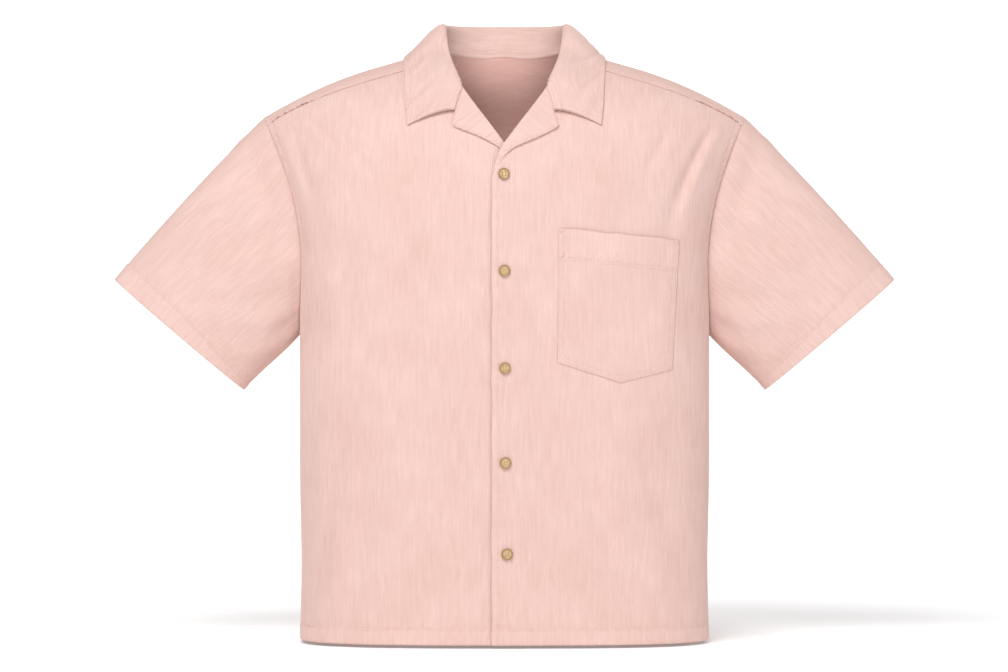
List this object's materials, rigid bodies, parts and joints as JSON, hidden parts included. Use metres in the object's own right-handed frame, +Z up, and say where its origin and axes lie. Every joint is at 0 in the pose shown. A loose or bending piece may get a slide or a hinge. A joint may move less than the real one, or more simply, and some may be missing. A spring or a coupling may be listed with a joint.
{
  "type": "short-sleeved corduroy shirt with a camp collar, worn shape",
  "caption": "Short-sleeved corduroy shirt with an open camp collar, a patch pocket and a buttoned front, filled out as worn and empty inside.",
  "frame": {"origin": "base of the wearer's neck, level with the shoulders, where the shirt hangs from them", "axes": "+Z up, the front faces -Y, +X is the wearer's left"},
  "size_m": [0.8984, 0.2556, 0.7078],
  "materials": {
    "corduroy": "fine-wale cotton corduroy, soft matt pile",
    "buttons": "polished horn-look resin"
  },
  "bodies": {
    "root": {"left_front": "corduroy", "right_front": "corduroy", "back": "corduroy", "yoke": "corduroy", "left_sleeve": "corduroy", "right_sleeve": "corduroy", "pocket": "corduroy", "collar": "corduroy", "left_lapel": "corduroy", "right_lapel": "corduroy", "button_1": "buttons", "button_2": "buttons", "button_3": "buttons", "button_4": "buttons", "button_5": "buttons"}
  },
  "joints": []
}
